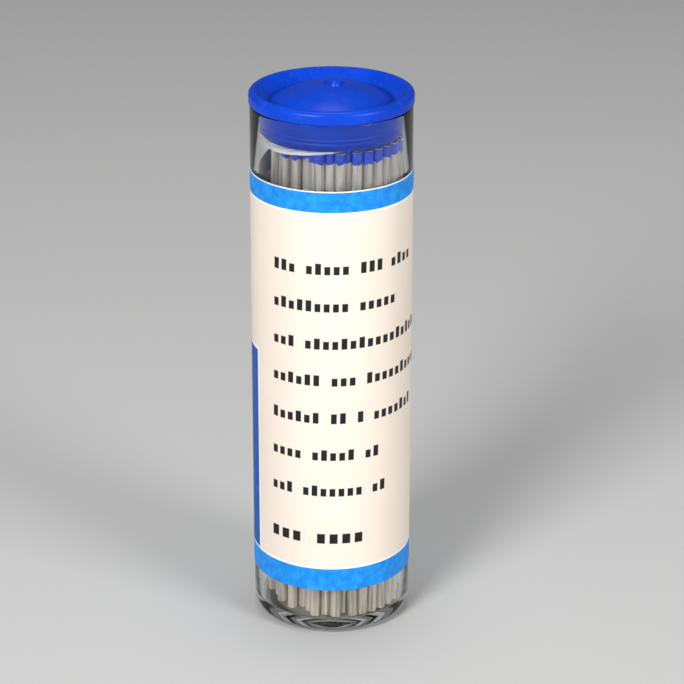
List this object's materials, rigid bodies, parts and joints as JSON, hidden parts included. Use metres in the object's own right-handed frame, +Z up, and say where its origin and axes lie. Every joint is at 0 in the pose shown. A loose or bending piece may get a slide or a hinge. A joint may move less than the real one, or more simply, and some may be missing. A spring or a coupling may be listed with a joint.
{
  "type": "stoppered vial of glass capillary tubes",
  "caption": "Clear cylindrical vial with a blue push-in stopper and a wrap-round label, packed upright with plain glass capillary tubes under a thin pad.",
  "frame": {"origin": "centre of the ring that the vial stands on", "axes": "+Z up along the vial's axis to the stopper; -Y is the front, where the label's plain field faces; +X is to the right seen from the front"},
  "size_m": [0.0244, 0.0244, 0.0858],
  "materials": {
    "vial_glass": "clear polished",
    "tube_glass": "clear polished, with a blue ring at one end",
    "stopper_plastic": "satin moulded",
    "label_paper": "coated, printed in blue and dark grey",
    "pad_paper": "soft uncoated"
  },
  "bodies": {
    "vial": {"vial": "vial_glass", "label": "label_paper", "pad": "pad_paper", "tubes_01": "tube_glass", "tubes_02": "tube_glass", "tubes_03": "tube_glass", "tubes_04": "tube_glass", "tubes_05": "tube_glass", "tubes_06": "tube_glass", "tubes_07": "tube_glass", "tubes_08": "tube_glass", "tubes_09": "tube_glass", "tubes_10": "tube_glass", "tubes_11": "tube_glass", "tubes_12": "tube_glass", "tubes_13": "tube_glass", "tubes_14": "tube_glass", "tubes_15": "tube_glass", "tubes_16": "tube_glass", "tubes_17": "tube_glass", "tubes_18": "tube_glass", "tubes_19": "tube_glass", "tubes_20": "tube_glass"},
    "stopper": {"stopper": "stopper_plastic"}
  },
  "joints": [
    {"name": "stopper_slide", "type": "slide", "parent": "vial", "child": "stopper", "axis": [0, 0, 1], "range_m": [0, 0.012]}
  ]
}
